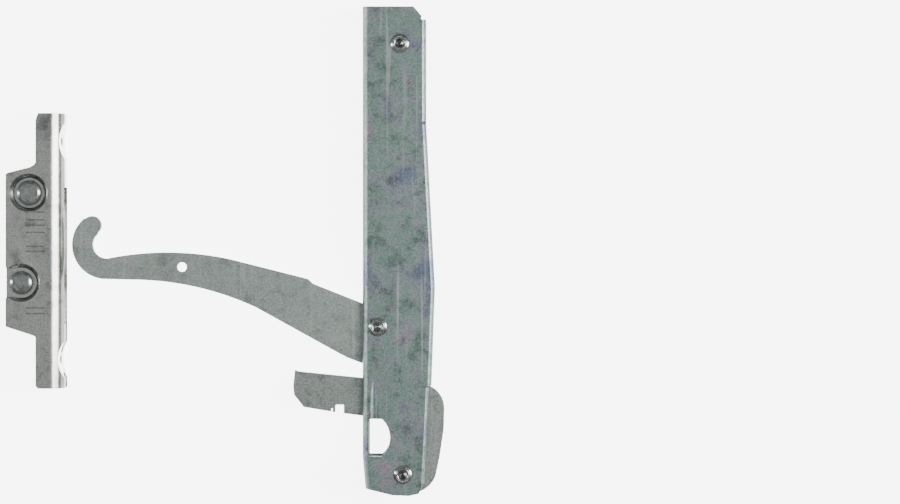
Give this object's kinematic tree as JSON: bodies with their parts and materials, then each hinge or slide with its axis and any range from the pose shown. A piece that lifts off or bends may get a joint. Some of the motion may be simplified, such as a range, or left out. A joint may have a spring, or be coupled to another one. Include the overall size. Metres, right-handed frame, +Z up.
{
  "type": "oven door hinge with catch bracket",
  "caption": "Sprung oven door hinge: a lipped channel with a claw lever and a hooked balance arm, and the slotted bracket that catches the hook.",
  "frame": {"origin": "centre of the footprint of the whole set, on the surface it lies on", "axes": "+Z up along the pivot rivets, +Y along the channel towards its top end, +X from the oven towards the door"},
  "size_m": [0.214, 0.2392, 0.0184],
  "materials": {
    "channel_steel": "zinc plated, mottled satin",
    "arm_steel": "zinc plated, satin",
    "claw_steel": "zinc plated, mottled satin",
    "rivet_steel": "bright plated",
    "inner_steel": "plated",
    "spring_steel": "oiled spring wire",
    "bracket_steel": "galvanised",
    "roller_steel": "turned"
  },
  "bodies": {
    "channel": {"door_channel": "channel_steel", "arm_pivot_rivet": "rivet_steel", "door_pivot_rivet": "rivet_steel", "anchor_rivet": "rivet_steel", "arm_spacers": "inner_steel", "lever_spacers": "inner_steel", "anchor_spacer": "inner_steel", "spring_stirrup": "inner_steel", "upper_spring_washer": "inner_steel", "balance_spring": "spring_steel"},
    "claw": {"claw_lever": "claw_steel"},
    "arm": {"hook_arm": "arm_steel"},
    "rod": {"rod_fork": "inner_steel", "link_pin": "inner_steel", "link_pin_clip": "inner_steel", "rod_lock_nut": "inner_steel", "spring_rod": "inner_steel", "lower_spring_collar": "inner_steel"},
    "catch": {"catch_bracket": "bracket_steel", "roller_rivet": "rivet_steel", "claw_rivet": "rivet_steel", "claw_bush": "roller_steel"},
    "roller": {"catch_roller": "roller_steel"}
  },
  "joints": [
    {"name": "door_swing", "type": "hinge", "parent": "channel", "child": "claw", "pos_m": [0.0868, -0.1092, 0.0092], "axis": [0, 0, 1], "range_deg": [0, 93]},
    {"name": "arm_swing", "type": "hinge", "parent": "channel", "child": "arm", "pos_m": [0.0746, -0.037, 0.0092], "axis": [0, 0, 1], "range_deg": [0, 66]},
    {"name": "rod_tilt", "type": "hinge", "parent": "arm", "child": "rod", "pos_m": [0.08718, -0.04517, 0.0092], "axis": [0, 0, 1], "range_deg": [-66, 0], "deforming": ["balance_spring"]},
    {"name": "catch_slide", "type": "slide", "parent": "channel", "child": "catch", "axis": [0.9889, -0.1486, 0], "range_m": [0, 0.085]},
    {"name": "roller_spin", "type": "hinge", "parent": "catch", "child": "roller", "pos_m": [-0.0958, 0.0285, 0.0092], "axis": [0, 0, 1], "continuous": true}
  ],
  "couplings": [
    {"joint": "arm_swing", "follows": "door_swing", "ratio": 0.709},
    {"joint": "rod_tilt", "follows": "door_swing", "ratio": -0.709}
  ]
}
